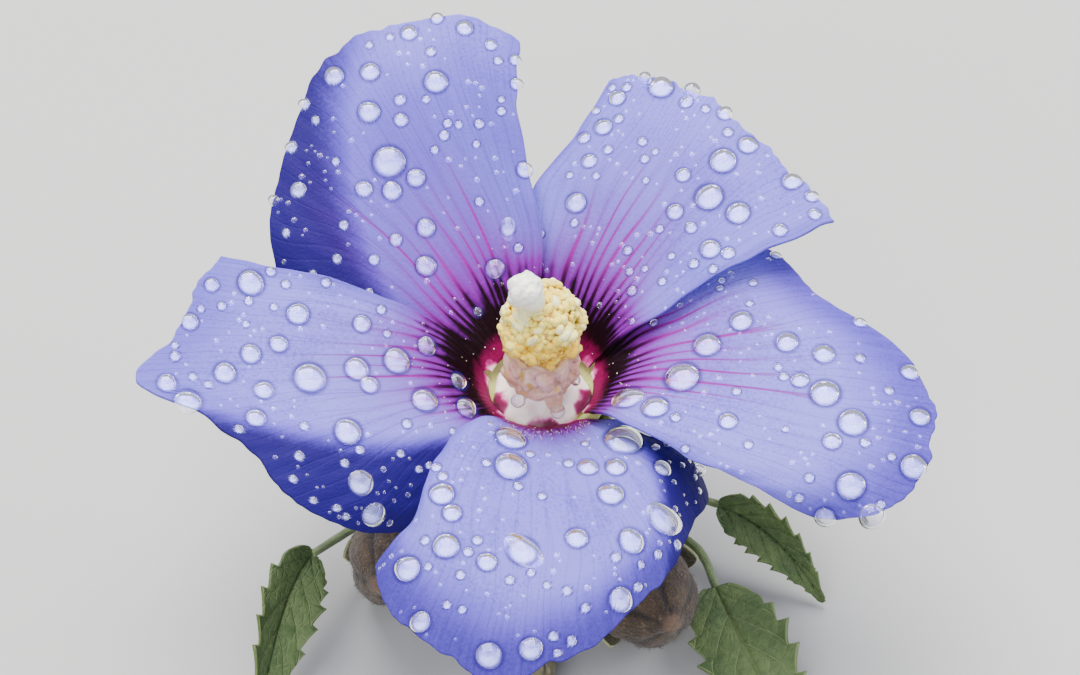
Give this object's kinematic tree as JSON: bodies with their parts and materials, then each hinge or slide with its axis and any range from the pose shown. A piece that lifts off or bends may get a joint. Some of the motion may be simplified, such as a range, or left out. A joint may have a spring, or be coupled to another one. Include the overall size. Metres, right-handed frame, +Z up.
{
  "type": "rose of sharon bloom on a cut sprig",
  "caption": "Open single rose of sharon bloom, wet with rain, on a short cut twig with seed capsules and toothed leaves.",
  "frame": {"origin": "on the surface that the sprig lies on, under the middle of its box, close under the flower's axis", "axes": "+Z up along the flower's axis, +Y from the twig's front cut towards its back one, +X to the right"},
  "size_m": [0.0877, 0.0788, 0.0498],
  "materials": {
    "petal": "satin, finely veined, blue-violet with a maroon eye",
    "column": "matt, knobbly, cream with yellow pollen",
    "calyx": "downy matt green",
    "bark": "rough grey-brown bark with pale lenticels",
    "capsule": "matt dark brown, short dense down",
    "leaf": "satin dark green, veined",
    "water": "clear, glossy"
  },
  "bodies": {
    "root": {"petal_back_left": "petal", "petal_left": "petal", "petal_front": "petal", "petal_right": "petal", "petal_back_right": "petal", "column_foot": "column", "stamen_column": "column", "stigma": "column", "calyx": "calyx", "flower_stalk": "calyx", "twig": "bark", "capsule_left": "capsule", "capsule_right": "capsule", "capsule_left_stalk": "calyx", "capsule_right_stalk": "calyx", "leaf_left": "leaf", "leaf_right": "leaf", "leaf_front": "leaf", "leaf_left_stalk": "leaf", "leaf_right_stalk": "leaf", "leaf_front_stalk": "leaf", "bract_1": "calyx", "bract_2": "calyx", "bract_3": "calyx", "bract_4": "calyx", "bract_5": "calyx", "bract_6": "calyx", "bract_7": "calyx"}
  },
  "joints": []
}
